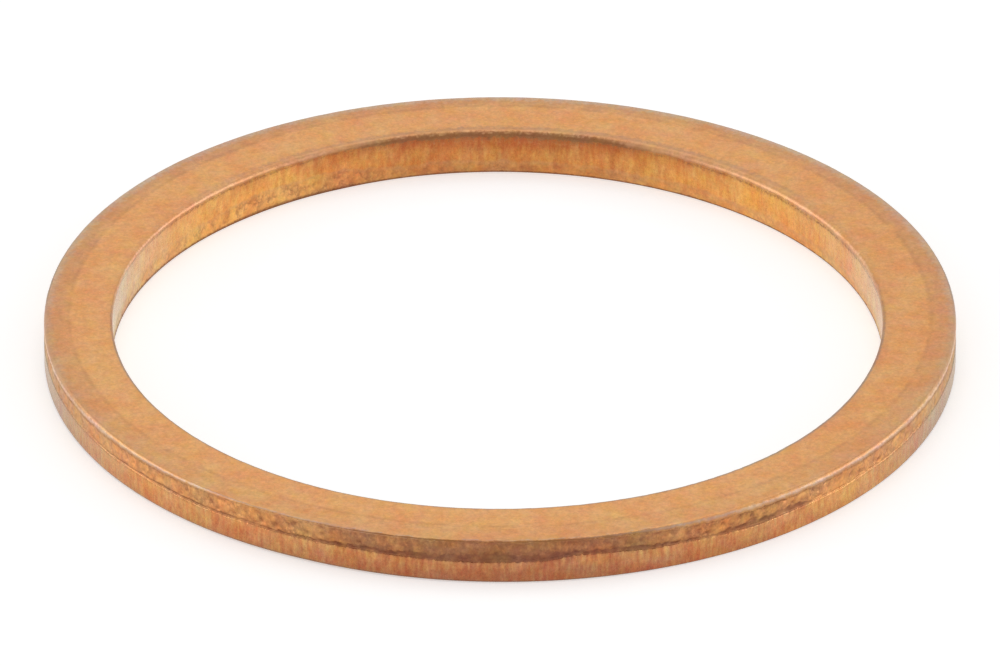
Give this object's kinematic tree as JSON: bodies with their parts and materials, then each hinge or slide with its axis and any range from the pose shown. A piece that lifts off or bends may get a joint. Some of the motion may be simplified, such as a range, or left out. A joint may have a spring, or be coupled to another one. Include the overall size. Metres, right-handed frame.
{
  "type": "drain plug washer",
  "caption": "Flat copper sealing ring for an oil drain plug, with sheared rim and bore edges.",
  "frame": {"origin": "centre of the bottom face, on the ring's axis", "axes": "+Z along the ring's axis, from the face that it lies on to the upper face; X and Y are equal by symmetry"},
  "size_m": [0.0288, 0.0288, 0.0015],
  "materials": {
    "copper": "dull, tumbled soft copper with faint lathe-like streaks on the faces and sheared edges"
  },
  "bodies": {
    "root": {"sealing_ring": "copper"}
  },
  "joints": []
}
